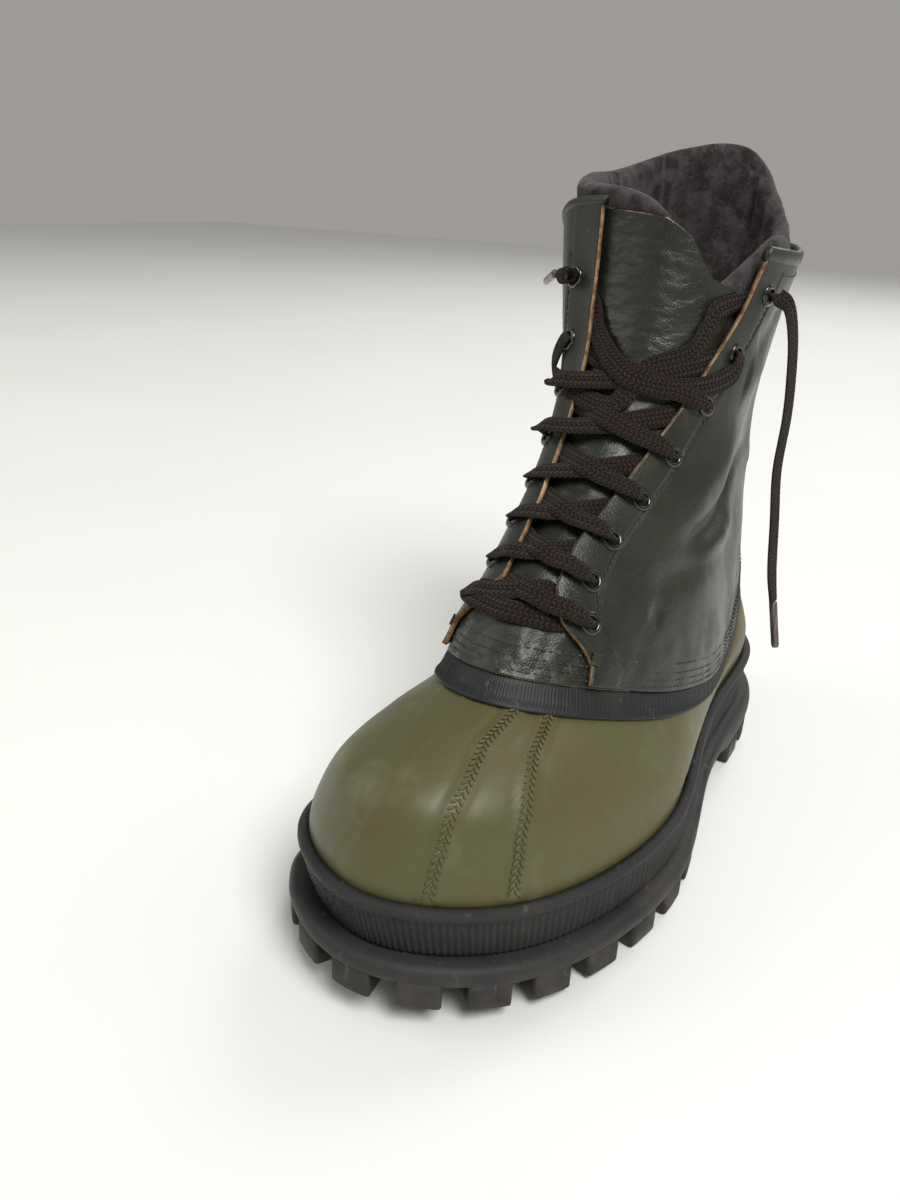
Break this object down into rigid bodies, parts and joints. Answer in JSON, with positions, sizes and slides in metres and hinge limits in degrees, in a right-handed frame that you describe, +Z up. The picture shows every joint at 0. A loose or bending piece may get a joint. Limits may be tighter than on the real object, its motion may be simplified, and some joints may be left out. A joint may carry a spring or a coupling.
{
  "type": "pac boot",
  "caption": "Lace-up winter pac boot: lugged sole, moulded rubber shell, leather upper with a laced throat and tongue, and a felt liner that stands out of the collar.",
  "frame": {"origin": "under the middle of the boot's box, on the floor, without the hanging end of the lace", "axes": "+Z up, toe towards -Y, heel towards +Y, outer side of the left foot towards +X"},
  "size_m": [0.1371, 0.336, 0.2929],
  "materials": {
    "black_rubber": "matt, worn",
    "green_rubber": "satin",
    "leather": "oiled, creased",
    "enamel": "gloss",
    "lace": "flat woven",
    "aglet": "satin",
    "felt": "wool felt"
  },
  "bodies": {
    "root": {"outsole": "black_rubber", "rubber_shell": "green_rubber", "sole_band": "black_rubber", "rim_strip": "black_rubber", "leather_upper": "leather", "tongue": "leather", "felt_liner": "felt", "lace": "lace", "aglet_inner": "aglet", "lace_end_outer": "lace", "aglet_outer": "aglet", "eyelet_outer_1": "enamel", "eyelet_outer_2": "enamel", "eyelet_outer_3": "enamel", "eyelet_outer_4": "enamel", "eyelet_outer_5": "enamel", "eyelet_outer_6": "enamel", "eyelet_outer_7": "enamel", "eyelet_outer_8": "enamel", "eyelet_inner_1": "enamel", "eyelet_inner_2": "enamel", "eyelet_inner_3": "enamel", "eyelet_inner_4": "enamel", "eyelet_inner_5": "enamel", "eyelet_inner_6": "enamel", "eyelet_inner_7": "enamel", "eyelet_inner_8": "enamel"}
  },
  "joints": []
}
